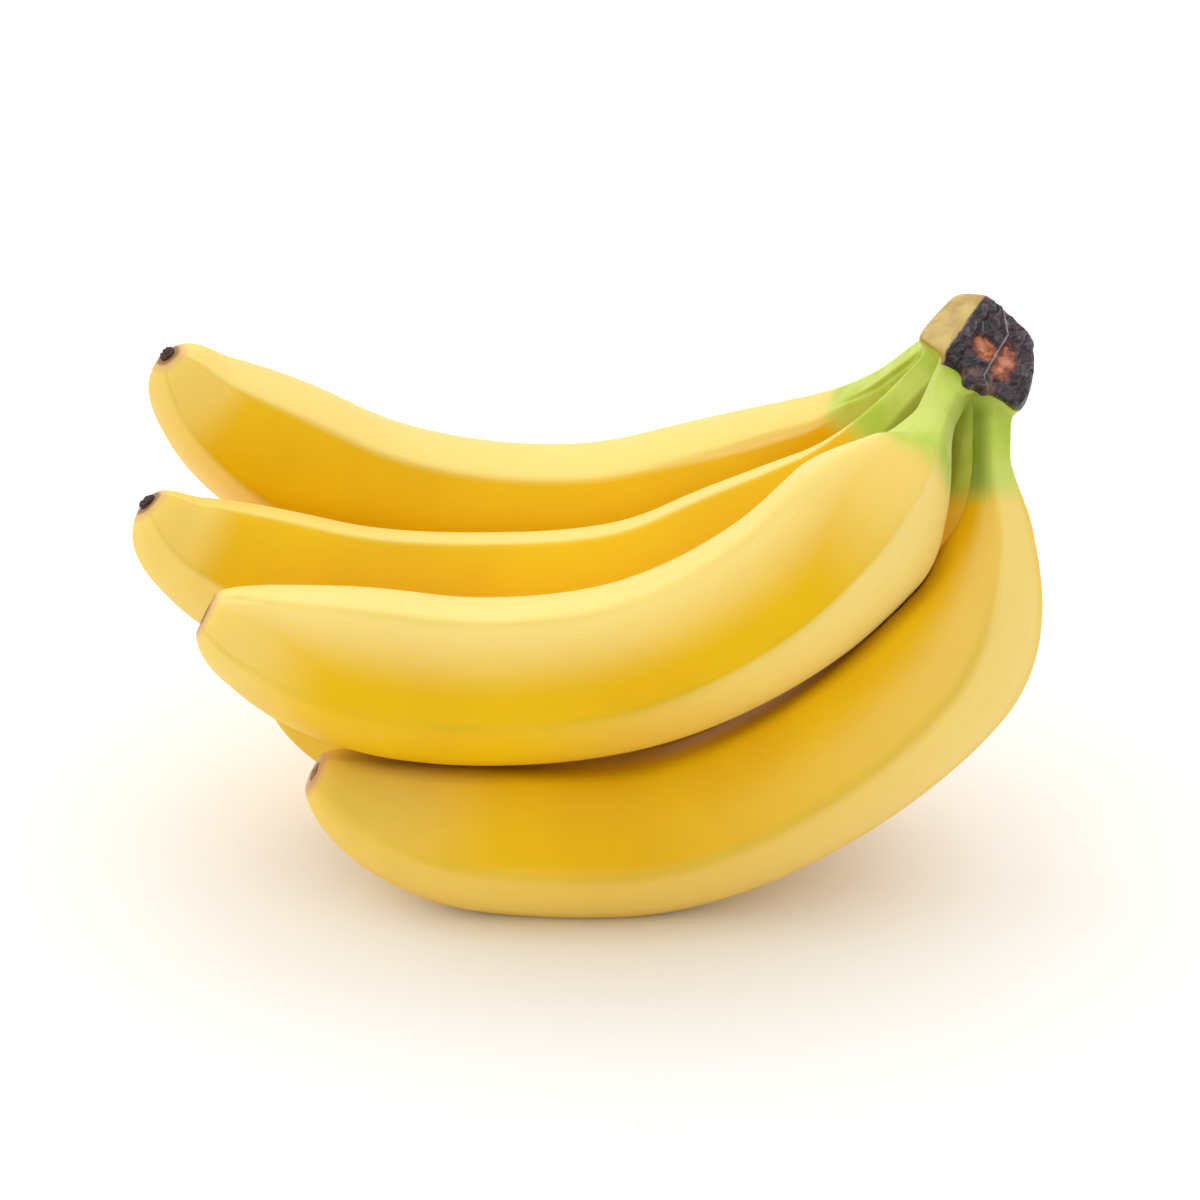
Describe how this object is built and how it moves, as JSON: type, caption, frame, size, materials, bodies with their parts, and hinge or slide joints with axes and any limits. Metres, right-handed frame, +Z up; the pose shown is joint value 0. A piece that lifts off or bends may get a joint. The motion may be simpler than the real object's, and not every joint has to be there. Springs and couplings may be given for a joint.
{
  "type": "bunch of bananas",
  "caption": "Bunch of ripe bananas in two curved rows that share one crown, with green stalks and a dark cut face, lying on its lower fruits.",
  "frame": {"origin": "on the surface, under the middle of the bunch's box", "axes": "+X along the bunch from the blossom ends to the crown, +Y from the front fruits to the back, +Z up"},
  "size_m": [0.1903, 0.108, 0.1241],
  "materials": {
    "peel": "smooth satin banana peel, yellow, lime green at the stalk",
    "crown": "green stalk tissue with a tan dry face and a dark wrinkled cut",
    "blossom_end": "dry dark brown flower remnant"
  },
  "bodies": {
    "root": {"crown": "crown", "banana_upper_back": "peel", "banana_upper_middle": "peel", "banana_upper_front": "peel", "banana_lower_front": "peel", "banana_lower_back": "peel", "blossom_end_upper_back": "blossom_end", "blossom_end_upper_middle": "blossom_end", "blossom_end_upper_front": "blossom_end", "blossom_end_lower_front": "blossom_end", "blossom_end_lower_back": "blossom_end"}
  },
  "joints": []
}
